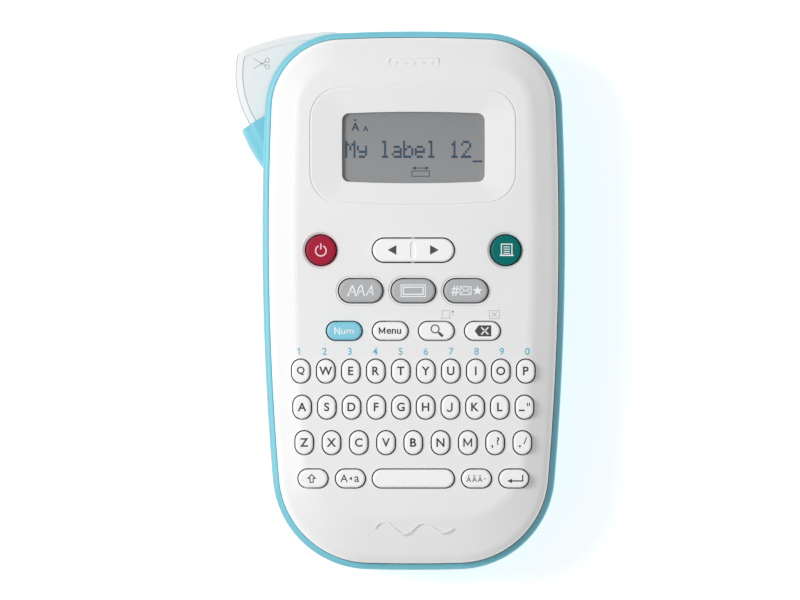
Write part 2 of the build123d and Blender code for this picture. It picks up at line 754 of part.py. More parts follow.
# ---------------------------------------------------------------- rear cover
with BuildPart() as rear_cover:
    extrude(bay_outline(0, -lid_gap), amount=lid_thick)
    fillet(rear_cover.edges().group_by(Axis.Z)[0], lid_round)
    with Locations((0, bay_foot_y + grip_from_edge, grip_depth / 2)):
        with GridLocations(0, grip_pitch, 1, grip_count):
            Box(grip_w, grip_bar, grip_depth, mode=Mode.SUBTRACT)
finish(rear_cover, "rear_cover")

# ---------------------------------------------------------------- cutter lever and blade
top_right = pivot + Vector(*lever_top_right)
top_bevel = pivot + Vector(*lever_top_bevel)
top_middle = pivot + Vector(*lever_top_middle)
outer_corner = toward(lever_start, lever_r)
edge_middle = (lever_start + lever_end) / 2
top_edge = Edge.make_three_point_arc(top_bevel, top_middle, outer_corner)


def hood_inside(z, wall):
    """Inside of the hood, a wall's thickness in from its outer arc and its top edge."""
    with BuildSketch(Plane.XY.offset(z), mode=Mode.PRIVATE) as inside:
        with Locations((pivot_x, pivot_y)):
            Circle(lever_r - wall)
        with Locations((top_edge.arc_center.X, top_edge.arc_center.Y)):
            Circle(top_edge.radius - wall, mode=Mode.INTERSECT)
    return inside.sketch


blade_edge = toward(blade_start, blade_r)


def blade_place(behind, outward):
    """A point behind the blade's edge, and outward from its middle plane."""
    along = toward(blade_start + 90.0, -behind, Vector(0, 0))
    return blade_edge + along + toward(blade_start, outward, Vector(0, 0))


def blade_box(z, behind_from, behind_to, half):
    with BuildSketch(Plane.XY.offset(z), mode=Mode.PRIVATE) as outline:
        with BuildLine():
            Polyline(
                blade_place(behind_from, half),
                blade_place(behind_to, half),
                blade_place(behind_to, -half),
                blade_place(behind_from, -half),
                close=True,
            )
        make_face()
    return outline.sketch


with BuildPart() as cutter_lever:
    with BuildSketch(Plane.XY.offset(lever_low_z)) as hood:
        with BuildLine():
            Line(pivot + Vector(hub_r, 0), top_right)
            Line(top_right, top_bevel)
            ThreePointArc(top_bevel, top_middle, outer_corner)
            ThreePointArc(
                outer_corner, toward(edge_middle, lever_r), toward(lever_end, lever_r)
            )
            Line(toward(lever_end, lever_r), toward(lever_end, lever_inner_r))
            ThreePointArc(
                toward(lever_end, lever_inner_r),
                toward(edge_middle, lever_inner_r),
                toward(lever_web_angle, lever_inner_r),
            )
            Line(toward(lever_web_angle, lever_inner_r), toward(lever_hub_start, hub_r))
            ThreePointArc(
                toward(lever_hub_start, hub_r),
                toward(lever_hub_middle, hub_r),
                pivot + Vector(hub_r, 0),
            )
        make_face()
        fillet(hood.vertices().sort_by_distance(outer_corner)[0], lever_corner)
    extrude(amount=lever_top_z - lever_low_z)
    outer_rim = [
        edge
        for edge in cutter_lever.edges().group_by(Axis.Z)[-1]
        if edge.geom_type == GeomType.CIRCLE and edge.radius > lever_inner_r + 1
    ]
    fillet(outer_rim, lever_edge_round)
    extrude(
        hood_inside(lever_low_z, lever_wall), amount=plate_low - lever_low_z, mode=Mode.SUBTRACT
    )
    extrude(hood_inside(lever_top_z - lever_dip, lever_rim), amount=lever_dip, mode=Mode.SUBTRACT)
    extrude(
        sector(lever_low_z, lever_r - 4.0, lever_r + 2.0, notch_start, lever_end + 2.0),
        amount=notch_top_z - lever_low_z,
        mode=Mode.SUBTRACT,
    )
    extrude(disc(lever_low_z, pivot, hub_r), amount=lever_top_z - lever_dip - lever_low_z)
    extrude(
        blade_box(lever_low_z, holder_near, holder_far, holder_half),
        amount=plate_low + 0.5 - lever_low_z,
    )
    extrude(
        blade_box(lever_low_z, 0, blade_depth, blade_thick / 2),
        amount=blade_top_z - lever_low_z,
        mode=Mode.SUBTRACT,
    )
    extrude(
        disc(lever_low_z, pivot, pivot_pin_r + pivot_fit),
        amount=lever_top_z - lever_low_z,
        mode=Mode.SUBTRACT,
    )
finish(cutter_lever, "cutter_lever")

with BuildPart() as cutter_blade:
    with BuildSketch(Plane.XY.offset(blade_low_z)):
        with BuildLine():
            Polyline(
                blade_place(0, 0),
                blade_place(blade_bevel, blade_thick / 2),
                blade_place(blade_depth, blade_thick / 2),
                blade_place(blade_depth, -blade_thick / 2),
                blade_place(blade_bevel, -blade_thick / 2),
                close=True,
            )
        make_face()
    extrude(amount=blade_top_z - blade_low_z)
finish(cutter_blade, "cutter_blade")

# ---------------------------------------------------------------- print drive
with BuildPart() as print_head:
    sink_at = head_gap + head_t
    sink_span = (nip_r - sink_w / 2, nip_r + sink_w / 2)
    extrude(
        strip(head_low_z, nip_r - head_w / 2, nip_r + head_w / 2, head_gap, sink_at),
        amount=floor_z - head_top_gap - head_low_z,
    )
    extrude(
        strip(head_low_z, *sink_span, sink_at, sink_at + sink_t),
        amount=floor_z - head_low_z,
    )
    extrude(
        strip(floor_z - sink_t, *sink_span, sink_at, sink_at + sink_flange),
        amount=sink_t,
    )
finish(print_head, "print_head")

with BuildPart() as platen_roller:
    extrude(disc(shaft_low_z, platen, roller_shaft_r), amount=shaft_top_z - shaft_low_z)
    extrude(disc(roller_low_z, platen, roller_r), amount=roller_len)
    extrude(gear_outline(gear_z, platen, platen_teeth, mesh_angle), amount=gear_width)
finish(platen_roller, "platen_roller")

with BuildPart() as drive_motor:
    extrude(disc(motor_low_z, motor, motor_r), amount=motor_len)
    fillet(drive_motor.edges().group_by(Axis.Z)[-1], motor_round)
    motor_top_z = motor_low_z + motor_len
    extrude(disc(motor_top_z, motor, motor_cap_r), amount=motor_cap_h)
    for side in (-1, 1):
        with Locations((motor.X + side * tab_at, motor.Y, motor_top_z + tab_h / 3)):
            Box(tab_w, tab_l, tab_h)
    extrude(
        disc(motor_low_z, motor, spindle_r + shaft_fit),
        amount=spindle_len + 0.5,
        mode=Mode.SUBTRACT,
    )
finish(drive_motor, "drive_motor")

with BuildPart() as motor_pinion:
    gap_at = mesh_angle + 180.0 + 180.0 / pinion_teeth
    extrude(gear_outline(gear_z, motor, pinion_teeth, gap_at), amount=gear_width)
    extrude(disc(gear_z, motor, spindle_r), amount=motor_low_z + spindle_len - gear_z)
finish(motor_pinion, "motor_pinion")

# ---------------------------------------------------------------- cassette, cells, contacts, screws
with BuildPart() as tape_cassette:
    extrude(
        rounded(
            cassette_low_z,
            cassette_x0,
            cassette_x1,
            cassette_y0,
            cassette_y1,
            cassette_corner,
        ),
        amount=cassette_thick,
    )
    fillet(tape_cassette.edges().group_by(Axis.Z)[0], cassette_round)
    reel = Vector(cassette_x1 - reel_r - reel_margin, (cassette_y0 + cassette_y1) / 2)
    ribbon = Vector(cassette_x0 + ribbon_at, reel.Y)
    extrude(disc(cassette_low_z, reel, reel_r), amount=reel_floor, mode=Mode.SUBTRACT)
    extrude(disc(cassette_low_z, reel, reel_hub_r), amount=hub_depth, mode=Mode.SUBTRACT)
    extrude(disc(cassette_low_z, ribbon, ribbon_hub_r), amount=hub_depth, mode=Mode.SUBTRACT)
    with Locations((ribbon.X, ribbon.Y - latch_drop, cassette_low_z + latch_depth / 2)):
        Box(latch_w, latch_h, latch_depth, mode=Mode.SUBTRACT)
finish(tape_cassette, "tape_cassette")


def cell_span(number, start, end):
    """Two distances from the middle of a cell toward its positive end, as a place along y."""
    way = 1 if number % 2 == 0 else -1
    return cell_mid_y + way * (start + end) / 2, abs(end - start)


with BuildPart() as batteries:
    half = (cell_len + cell_nub_len) / 2
    for number, x in enumerate(cells_x):
        body_y, body_len = cell_span(number, -half, half - cell_nub_len)
        with Locations(Location((x, body_y, cell_axis_z), (90, 0, 0))):
            Cylinder(cell_r, body_len)
        nub_y, nub_len = cell_span(number, half - cell_nub_len, half)
        with Locations(Location((x, nub_y, cell_axis_z), (90, 0, 0))):
            Cylinder(cell_nub_r, nub_len)
finish(batteries, "batteries")

with BuildPart() as battery_contacts:
    plate_at = cell_end - contact_thick
    for number, x in enumerate(cells_x):
        for sign, (tip_r, foot_r) in ((1, plus_spring), (-1, minus_spring)):
            way = sign if number % 2 == 0 else -sign
            reach = plate_at - half - spring_gap
            middle_y = cell_mid_y + way * (plate_at - reach / 2)
            with Locations(Location((x, middle_y, cell_axis_z), (-90 * way, 0, 0))):
                Cone(foot_r, tip_r, reach, rotation=(180, 0, 0))
    pairs_foot = [(0, 1), (2, 3), (4, 5)]
    pairs_head = [(0, 0), (1, 2), (3, 4), (5, 5)]
    for side, pairs in ((-1, pairs_foot), (1, pairs_head)):
        for first, last in pairs:
            middle_x = (cells_x[first] + cells_x[last]) / 2
            width = cells_x[last] - cells_x[first] + contact_h
            middle_y = cell_mid_y + side * (cell_end - contact_thick / 2)
            with Locations((middle_x, middle_y, cell_axis_z)):
                Box(width, contact_thick, contact_h)
finish(battery_contacts, "battery_contacts")

with BuildPart() as case_screws:
    for x, y in bay_screws + back_screws:
        place = Vector(x, y)
        extrude(disc(screw_seat_z - screw_head_h, place, screw_head_r), amount=screw_head_h)
        extrude(disc(screw_seat_z, place, screw_r), amount=screw_len)
        with Locations((x, y, screw_seat_z - screw_head_h + cross_depth / 2)):
            Box(cross_len, cross_w, cross_depth, mode=Mode.SUBTRACT)
            Box(cross_w, cross_len, cross_depth, mode=Mode.SUBTRACT)
finish(case_screws, "case_screws")
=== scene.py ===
# %% [markdown]
# This script gives a handheld label maker its looks. The shapes of the case, the keys and the
# cutter come ready from the CAD frame, at their real size in metres. What is added here is what a
# factory adds after moulding: surface finish, printed legends, the display's picture, and small
# raised marks. The frame is loaded first, because every later piece takes its place from it.

# %% Load the frame
import json
import math

import bmesh
import bpy
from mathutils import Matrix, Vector

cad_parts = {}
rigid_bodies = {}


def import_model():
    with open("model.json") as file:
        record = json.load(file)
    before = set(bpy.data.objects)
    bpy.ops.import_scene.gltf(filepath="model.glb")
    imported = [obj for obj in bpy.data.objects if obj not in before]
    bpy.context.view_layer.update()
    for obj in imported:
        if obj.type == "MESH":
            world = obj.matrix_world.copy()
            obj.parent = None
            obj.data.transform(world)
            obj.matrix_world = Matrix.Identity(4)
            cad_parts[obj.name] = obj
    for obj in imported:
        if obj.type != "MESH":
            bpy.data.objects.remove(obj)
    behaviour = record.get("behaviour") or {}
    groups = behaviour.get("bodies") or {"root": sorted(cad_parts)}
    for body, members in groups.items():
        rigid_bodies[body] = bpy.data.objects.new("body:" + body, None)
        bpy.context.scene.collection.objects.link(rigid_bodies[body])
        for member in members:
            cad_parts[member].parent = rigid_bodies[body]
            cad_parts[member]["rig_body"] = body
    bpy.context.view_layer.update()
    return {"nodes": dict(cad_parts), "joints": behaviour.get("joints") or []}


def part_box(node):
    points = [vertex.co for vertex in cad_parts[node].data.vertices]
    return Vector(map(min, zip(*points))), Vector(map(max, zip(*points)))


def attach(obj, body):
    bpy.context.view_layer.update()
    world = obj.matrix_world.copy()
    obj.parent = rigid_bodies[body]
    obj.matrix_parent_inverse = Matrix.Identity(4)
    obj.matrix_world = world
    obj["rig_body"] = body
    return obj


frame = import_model()
nodes = frame["nodes"]
mm = 0.001


# %% [markdown]
# Moulded plastic is never one flat colour. Light catches a fine grain that the mould left, and the
# pigment is a little uneven. The same recipe serves every moulded piece: a slow noise that mixes
# two near shades, and a fine noise that drives a weak bump. Only the numbers differ, so one helper
# makes them all. Colours are chosen as display values from 0 to 255, and turned into linear light.

# %% Colours and the moulded finish
plastic_ior = 1.49
mould_depth = 0.00005
mould_scale = 2600.0
mottle_scale = 45.0
handling_scale = 160.0


def shade(red, green, blue):
    """A linear colour from display values of 0 to 255."""
    linear = []
    for value in (red, green, blue):
        part = value / 255
        linear.append(part / 12.92 if part <= 0.04045 else ((part + 0.055) / 1.055) ** 2.4)
    return (*linear, 1.0)


def tinted(colour, amount):
    """The same colour, a little darker or lighter."""
    return (*[min(1.0, part * amount) for part in colour[:3]], 1.0)


def new_finish(name):
    """An empty material with its main shader, and the place in space of each point."""
    finish = bpy.data.materials.new(name)
    finish.use_nodes = True
    tree = finish.node_tree
    shader = tree.nodes["Principled BSDF"]
    place = tree.nodes.new("ShaderNodeTexCoord")
    return finish, tree, shader, place.outputs["Object"]


def noise(tree, place, scale, detail=3.0, roughness=0.5):
    texture = tree.nodes.new("ShaderNodeTexNoise")
    texture.inputs["Scale"].default_value = scale
    texture.inputs["Detail"].default_value = detail
    texture.inputs["Roughness"].default_value = roughness
    tree.links.new(place, texture.inputs["Vector"])
    return texture.outputs["Fac"]


def mottle(tree, shader, place, colour, spread, scale):
    """A slow change between two near shades."""
    mix = tree.nodes.new("ShaderNodeMix")
    mix.data_type = "RGBA"
    mix.inputs["A"].default_value = tinted(colour, 1 - spread)
    mix.inputs["B"].default_value = tinted(colour, 1 + spread)
    tree.links.new(noise(tree, place, scale, 2.0), mix.inputs["Factor"])
    tree.links.new(mix.outputs["Result"], shader.inputs["Base Color"])


def grain(tree, shader, place, scale, strength, depth):
    """The fine bump that a mould leaves."""
    bump = tree.nodes.new("ShaderNodeBump")
    bump.inputs["Strength"].default_value = strength
    bump.inputs["Distance"].default_value = depth
    tree.links.new(noise(tree, place, scale, 4.0), bump.inputs["Height"])
    tree.links.new(bump.outputs["Normal"], shader.inputs["Normal"])


def rough_spread(tree, shader, place, low, high, scale):
    """Roughness that changes a little from place to place, as handled plastic does."""
    span = tree.nodes.new("ShaderNodeMapRange")
    span.inputs["To Min"].default_value = low
    span.inputs["To Max"].default_value = high
    tree.links.new(noise(tree, place, scale, 3.0), span.inputs["Value"])
    tree.links.new(span.outputs["Result"], shader.inputs["Roughness"])


def moulded(name, colour, low, high, grain_strength=0.08, spread=0.012):
    """Moulded plastic: low and high are its smoothest and roughest."""
    finish, tree, shader, place = new_finish(name)
    mottle(tree, shader, place, colour, spread, mottle_scale)
    rough_spread(tree, shader, place, low, high, handling_scale)
    grain(tree, shader, place, mould_scale, grain_strength, mould_depth)
    shader.inputs["IOR"].default_value = plastic_ior
    return finish


# %% [markdown]
# The case is two kinds of ABS: a white front shell and a turquoise rear shell, both satin. The keys
# are moulded in harder plastic with a finer grain, so they look a little smoother. The cutter lever
# is a milky plastic. Bands of colour by distance from the hinge paint the light it lets through: a
# painted highlight makes its thick outer wall paler than the web, and a painted shade draws its
# outer edge as a grey line.

# %% Finishes of the case, the keys and the lever
shell_white = moulded("shell_white_satin", shade(239, 239, 239), 0.38, 0.46)
shell_turquoise = moulded("shell_turquoise_satin", shade(120, 197, 214), 0.36, 0.44)
key_white = moulded("key_white_satin", shade(250, 250, 250), 0.30, 0.38, 0.05)
key_grey = moulded("key_grey_satin", shade(182, 183, 185), 0.34, 0.42, 0.06)
key_turquoise = moulded("key_turquoise_satin", shade(133, 208, 229), 0.32, 0.40, 0.05)
key_red = moulded("key_red_satin", shade(169, 36, 62), 0.30, 0.38, 0.05)
key_green = moulded("key_green_satin", shade(3, 113, 108), 0.30, 0.38, 0.05)


def calm_gloss(finish, level):
    """Less mirror light, so that a deep pigment stays deep; half is the usual amount."""
    finish.node_tree.nodes["Principled BSDF"].inputs["Specular IOR Level"].default_value = level


for finish in (key_red, key_green):
    calm_gloss(finish, 0.1)
calm_gloss(key_grey, 0.3)
calm_gloss(shell_white, 0.25)

lever_painted_edge_band = 3.2 * mm


def frosted_lever_painted_edge_light():
    """Milky plastic with a painted highlight on the rim and a painted shade line at the outer edge.
    """
    finish, tree, shader, place = new_finish("lever_frosted_painted_edge_light")
    pivot = next(joint for joint in frame["joints"] if joint["name"] == "cutter_press")["pos_m"]
    outer_radius = pivot[0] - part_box("cutter_lever")[0].x
    flat = tree.nodes.new("ShaderNodeVectorMath")
    flat.operation = "MULTIPLY"
    flat.inputs[1].default_value = (1.0, 1.0, 0.0)
    reach = tree.nodes.new("ShaderNodeVectorMath")
    reach.operation = "DISTANCE"
    reach.inputs[1].default_value = (pivot[0], pivot[1], 0.0)
    span = tree.nodes.new("ShaderNodeMapRange")
    span.inputs["From Min"].default_value = outer_radius - lever_painted_edge_band
    span.inputs["From Max"].default_value = outer_radius
    bands = tree.nodes.new("ShaderNodeValToRGB")
    # Painted light: the rim band is a painted highlight and the outer band is a painted shade line.
    middle, painted_rim_highlight, painted_edge_shade = shade(236, 235, 234), shade(245, 244, 243), shade(194, 196, 198)
    steps = ((0.10, middle), (0.22, painted_rim_highlight), (0.76, painted_rim_highlight), (0.84, painted_edge_shade))
    bands.color_ramp.elements[0].color = middle
    bands.color_ramp.elements[1].color = painted_edge_shade
    for position, colour in steps:
        bands.color_ramp.elements.new(position).color = colour
    tree.links.new(place, flat.inputs[0])
    tree.links.new(flat.outputs["Vector"], reach.inputs[0])
    tree.links.new(reach.outputs["Value"], span.inputs["Value"])
    tree.links.new(span.outputs["Result"], bands.inputs["Fac"])
    tree.links.new(bands.outputs["Color"], shader.inputs["Base Color"])
    rough_spread(tree, shader, place, 0.42, 0.52, handling_scale)
    grain(tree, shader, place, mould_scale, 0.10, mould_depth)
    shader.inputs["IOR"].default_value = plastic_ior
    return finish


lever_frost_painted_edge_light = frosted_lever_painted_edge_light()
print("moulded finishes:", len(bpy.data.materials))


# %% [markdown]
# The display is a reflective one: a grey polariser behind clear glass, with no light of its own.
# Its grey is painted a little darker toward its upper edge, as painted shade for the shadow that
# the recess throws on the glass, and it has a faint grain. A thin clear coat over a rough grey base
# reads as glass over a dull film, and costs nothing to render.

# %% Finish of the display
glass_low, glass_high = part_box("lcd_module")


def display_finish():
    finish, tree, shader, place = new_finish("display_reflective_painted_shade")
    split = tree.nodes.new("ShaderNodeSeparateXYZ")
    span = tree.nodes.new("ShaderNodeMapRange")
    mix = tree.nodes.new("ShaderNodeMix")
    mix.data_type = "RGBA"
    span.inputs["From Min"].default_value = glass_low.y
    span.inputs["From Max"].default_value = glass_high.y
    # Painted shade: the grey darkens toward the glass's upper edge, where the recess throws its
    # shadow.
    mix.inputs["A"].default_value = shade(147, 148, 149)
    mix.inputs["B"].default_value = shade(133, 134, 136)
    tree.links.new(place, split.inputs["Vector"])
    tree.links.new(split.outputs["Y"], span.inputs["Value"])
    tree.links.new(span.outputs["Result"], mix.inputs["Factor"])
    tree.links.new(mix.outputs["Result"], shader.inputs["Base Color"])
    shader.inputs["Roughness"].default_value = 0.55
    shader.inputs["Coat Weight"].default_value = 0.35
    shader.inputs["Coat Roughness"].default_value = 0.22
    grain(tree, shader, place, 3400.0, 0.05, 0.00003)
    return finish


display_grey = display_finish()


# %% [markdown]
# Inside are metals, rubber, a board and a smoked cassette. They only show with the back cover off,
# but each gets what its surface has: machined metal has fine lines along one direction, rubber is
# dull, and a painted cell sleeve is glossy with a gold end band.

# %% Finishes of the inside
def metal(name, colour, roughness, stretch):
    """Metal with fine machining lines; stretch squeezes the noise along x, y and z."""
    finish, tree, shader, place = new_finish(name)
    mapping = tree.nodes.new("ShaderNodeMapping")
    mapping.inputs["Scale"].default_value = stretch
    tree.links.new(place, mapping.inputs["Vector"])
    lines = mapping.outputs["Vector"]
    mottle(tree, shader, place, colour, 0.03, 120.0)
    rough_spread(tree, shader, lines, roughness, roughness + 0.12, 900.0)
    grain(tree, shader, lines, 900.0, 0.10, 0.00003)
    shader.inputs["Metallic"].default_value = 1.0
    return finish


def solder_mask(name, colour):
    """Board lacquer with copper tracks drawn in lighter and darker shades of its colour, and a fine
    grain.
    """
    finish, tree, shader, place = new_finish(name)
    tracks = tree.nodes.new("ShaderNodeTexBrick")
    tracks.inputs["Scale"].default_value = 260.0
    tracks.inputs["Color1"].default_value = colour
    tracks.inputs["Color2"].default_value = tinted(colour, 1.25)
    tracks.inputs["Mortar"].default_value = tinted(colour, 0.6)
    tracks.inputs["Mortar Size"].default_value = 0.03
    tree.links.new(place, tracks.inputs["Vector"])
    tree.links.new(tracks.outputs["Color"], shader.inputs["Base Color"])
    shader.inputs["Roughness"].default_value = 0.32
    grain(tree, shader, place, 1500.0, 0.12, 0.00004)
    return finish


def cell_sleeve(name, low_y, high_y):
    """A dark sleeve with a gold band at each end of the row of cells."""
    finish, tree, shader, place = new_finish(name)
    split = tree.nodes.new("ShaderNodeSeparateXYZ")
    span = tree.nodes.new("ShaderNodeMapRange")
    bands = tree.nodes.new("ShaderNodeValToRGB")
    span.inputs["From Min"].default_value = low_y
    span.inputs["From Max"].default_value = high_y
    tree.links.new(place, split.inputs["Vector"])
    tree.links.new(split.outputs["Y"], span.inputs["Value"])
    tree.links.new(span.outputs["Result"], bands.inputs["Fac"])
    bands.color_ramp.interpolation = "CONSTANT"
    dark, gold = shade(34, 36, 40), shade(190, 150, 80)
    bands.color_ramp.elements[0].color = gold
    bands.color_ramp.elements[1].position = 0.82
    bands.color_ramp.elements[1].color = gold
    middle = bands.color_ramp.elements.new(0.18)
    middle.color = dark
    tree.links.new(bands.outputs["Color"], shader.inputs["Base Color"])
    rough_spread(tree, shader, place, 0.20, 0.30, 200.0)
    grain(tree, shader, place, 1200.0, 0.03, 0.00003)
    return finish


cells_low, cells_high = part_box("batteries")
inside_finishes = {
    # The mat is grey silicone, darkened further as painted shade for the gaps round the keys, where
    # it shows from the front.
    "keypad_mat": moulded("mat_silicone_painted_gap_shade", shade(112, 114, 116), 0.65, 0.80, 0.20),
    "main_board": solder_mask("board_lacquer", shade(22, 92, 54)),
    "print_head": metal("head_aluminium", shade(205, 207, 210), 0.30, (1, 1, 12)),
    "platen_roller": moulded("roller_rubber", shade(46, 46, 48), 0.70, 0.85, 0.25),
    "drive_motor": metal("motor_steel", shade(188, 189, 191), 0.28, (1, 1, 10)),
    "motor_pinion": metal("pinion_brass", shade(206, 176, 110), 0.26, (1, 1, 8)),
    "cutter_blade": metal("blade_steel", shade(206, 208, 212), 0.18, (1, 1, 14)),
    "tape_cassette": moulded("cassette_smoke", shade(96, 100, 106), 0.28, 0.38, 0.10),
    "batteries": cell_sleeve("cell_sleeve", cells_low.y, cells_high.y),
    "battery_contacts": metal("contact_nickel", shade(214, 213, 208), 0.22, (6, 1, 1)),
    "case_screws": metal("screw_steel", shade(120, 121, 124), 0.30, (1, 1, 6)),
}
print("inside finishes:", len(inside_finishes))


# %% [markdown]
# Every CAD node now takes its finish. The frame's node names say which piece is which, so a short
# table of the exceptions is enough, and every other key is white.

# %% Dress the CAD nodes
case_finishes = {
    "front_cover": shell_white,
    "rear_case": shell_turquoise,
    "rear_cover": shell_turquoise,
    "lcd_module": display_grey,
    "cutter_lever": lever_frost_painted_edge_light,
    "key_power": key_red,
    "key_print": key_green,
    "key_num": key_turquoise,
    "key_style": key_grey,
    "key_frame": key_grey,
    "key_symbol": key_grey,
}
for name, node in nodes.items():
    finish = case_finishes.get(name) or inside_finishes.get(name) or key_white
    for material_slot in node.material_slots:
        material_slot.material = finish
print("dressed", len(nodes), "nodes")


# %% [markdown]
# Legends on such keys are pad printed: a layer of ink about three hundredths of a millimetre thick.
# Real geometry is used for them and no picture, so they stay sharp at any distance. Each legend is
# drawn flat, in millimetres, and then given the ink's thickness. Three kinds of mark are enough:
# a filled patch, a line of even width, and letters from the built-in font.

# %% Ink finishes and the drawing helpers
ink_dark = moulded("ink_dark", shade(78, 78, 80), 0.45, 0.55, 0.04)
ink_turquoise = moulded("ink_turquoise", shade(120, 200, 229), 0.45, 0.55, 0.04)
ink_white = moulded("ink_white", shade(246, 248, 250), 0.45, 0.55, 0.04)
ink_rose = moulded("ink_rose", shade(246, 214, 222), 0.45, 0.55, 0.04)
ink_pale = moulded("ink_pale", shade(196, 196, 198), 0.45, 0.55, 0.04)
ink_middle = moulded("ink_middle", shade(112, 112, 114), 0.45, 0.55, 0.04)
for finish in (ink_dark, ink_turquoise, ink_pale, ink_middle):
    calm_gloss(finish, 0.2)
ink_height = 0.03


def patch(drawing, points):
    """A filled shape with its corners in order."""
    corners = [drawing.verts.new((x, y, 0.0)) for x, y in points]
    drawing.faces.new(corners)


def line(drawing, points, width, closed=False):
    """A line of even width with mitred corners."""
    count = len(points)
    places = [Vector(point) for point in points]
    left, right = [], []
    for number, here in enumerate(places):
        before = places[number - 1] if closed or number > 0 else None
        after = places[(number + 1) % count] if closed or number < count - 1 else None
        way_in = (here - before).normalized() if before is not None else None
        way_out = (after - here).normalized() if after is not None else None
        first = way_in or way_out
        second = way_out or way_in
        normal = Vector((-first.y - second.y, first.x + second.x)).normalized()
        reach = width / 2 / max(0.35, normal.dot(Vector((-first.y, first.x))))
        left.append(drawing.verts.new((*(here + normal * reach), 0.0)))
        right.append(drawing.verts.new((*(here - normal * reach), 0.0)))
    for number in range(count if closed else count - 1):
        following = (number + 1) % count
        drawing.faces.new(
            (left[number], right[number], right[following], left[following])
        )


def arc_points(x, y, radius, start, end, steps=40):
    """Points on an arc, from one angle to another in degrees."""
    angles = [math.radians(start + (end - start) * step / steps) for step in range(steps + 1)]
    return [(x + radius * math.cos(angle), y + radius * math.sin(angle)) for angle in angles]


def ring(drawing, x, y, radius, width):
    line(drawing, arc_points(x, y, radius, 0, 360)[:-1], width, closed=True)


def dot(drawing, x, y, radius):
    patch(drawing, arc_points(x, y, radius, 0, 360, 16)[:-1])


def letters(drawing, words, x, y, height, width=None, weight=0.0, slant=0.0):
    """Words centred on a point. height is that of a capital; weight thickens the strokes."""
    curve = bpy.data.curves.new("lettering", "FONT")
    curve.body = words
    curve.offset = weight
    curve.resolution_u = 6
    carrier = bpy.data.objects.new("lettering", curve)
    bpy.context.scene.collection.objects.link(carrier)
    bpy.context.view_layer.update()
    seen = carrier.evaluated_get(bpy.context.evaluated_depsgraph_get())
    mesh = bpy.data.meshes.new_from_object(seen)
    xs = [vertex.co.x for vertex in mesh.vertices]
    ys = [vertex.co.y for vertex in mesh.vertices]
    tall = height / (max(ys) - min(ys))
    wide = tall if width is None else width / (max(xs) - min(xs))
    centre = Vector(((min(xs) + max(xs)) / 2, (min(ys) + max(ys)) / 2, 0))
    for vertex in mesh.vertices:
        offset = vertex.co - centre
        vertex.co = (x + offset.x * wide + slant * offset.y * tall, y + offset.y * tall, 0)
    drawing.from_mesh(mesh)
    bpy.data.objects.remove(carrier)
    bpy.data.meshes.remove(mesh)
    bpy.data.curves.remove(curve)


def printed(name, drawing, body, finish, x, y, z, height=ink_height):
    """Gives a flat drawing its thickness, puts it at a place in mm and lets it ride on a body."""
    bmesh.ops.remove_doubles(drawing, verts=drawing.verts[:], dist=0.0001)
    for face in drawing.faces:
        if face.normal.z < 0:
            face.normal_flip()
    grown = bmesh.ops.extrude_face_region(drawing, geom=drawing.faces[:])
    risen = [part for part in grown["geom"] if isinstance(part, bmesh.types.BMVert)]
    bmesh.ops.translate(drawing, verts=risen, vec=(0, 0, height))
    bmesh.ops.recalc_face_normals(drawing, faces=drawing.faces[:])
    bmesh.ops.translate(drawing, verts=drawing.verts[:], vec=(x, y, z))
    bmesh.ops.scale(drawing, verts=drawing.verts[:], vec=(mm, mm, mm))
    mesh = bpy.data.meshes.new(name)
    drawing.to_mesh(mesh)
    drawing.free()
    mesh.materials.append(finish)
    piece = bpy.data.objects.new(name, mesh)
    bpy.context.scene.collection.objects.link(piece)
    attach(piece, body)
    return piece


def key_place(key):
    """Centre of a key's top, in mm."""
    low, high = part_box("key_" + key)
    middle = (low + high) / 2
    return middle.x / mm, middle.y / mm, high.z / mm


def key_legend(key, drawing, finish):
    """A printed legend in the middle of a key, which travels with it."""
    x, y, z = key_place(key)
    node = "key_" + key
    body = nodes[node]["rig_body"]
    return printed(f"legend_{key}", drawing, body, finish, x, y, z)


# %% [markdown]
# The letter keys carry one capital each, about a third of the key's height, in dark grey. The last
# keys of two rows carry two small signs side by side.

# %% Letters
def letter_m(drawing, x, y, width, height, stroke):
    """A capital M from two posts and a V; the font's own M closes up when it is thickened."""
    side, rise = (width - stroke) / 2, height / 2
    for post in (-side, side):
        line(drawing, [(x + post, y - rise), (x + post, y + rise)], stroke)
    valley = [(x - side, y + rise - 0.3), (x, y - 0.55 * rise), (x + side, y + rise - 0.3)]
    line(drawing, valley, stroke * 0.9)


def letter_j(drawing, x, y, height, stroke):
    """A capital J from a post that ends in a hook."""
    rise, hook = height / 2, height * 0.27
    post_x, foot_y = x + hook - stroke / 2, y - rise + hook
    curve = arc_points(post_x - hook, foot_y, hook, 0, -165, 14)
    line(drawing, [(post_x, y + rise)] + curve, stroke)


letter_height = 3.3
letter_weight = 0.021
for name in "qwertyuiopasdfghjklzxcvbn":
    drawing = bmesh.new()
    if name == "j":
        letter_j(drawing, 0.0, 0.1, letter_height, 0.6)
    else:
        letters(drawing, name.upper(), 0.0, 0.1, letter_height, weight=letter_weight)
    key_legend(name, drawing, ink_dark)

m_drawing = bmesh.new()
letter_m(m_drawing, 0.0, 0.1, 3.4, letter_height, 0.55)
key_legend("m", m_drawing, ink_dark)

dash_drawing = bmesh.new()
line(dash_drawing, [(-2.1, -1.2), (0.1, -1.2)], 0.6)
for quote_x in (1.1, 1.9):
    line(dash_drawing, [(quote_x, 1.7), (quote_x, 0.4)], 0.42)
key_legend("dash", dash_drawing, ink_dark)

comma_drawing = bmesh.new()
letters(comma_drawing, ",", -1.05, -1.5, 1.3, weight=0.01)
letters(comma_drawing, "?", 1.1, 0.7, 2.9, weight=0.02)
key_legend("comma", comma_drawing, ink_dark)

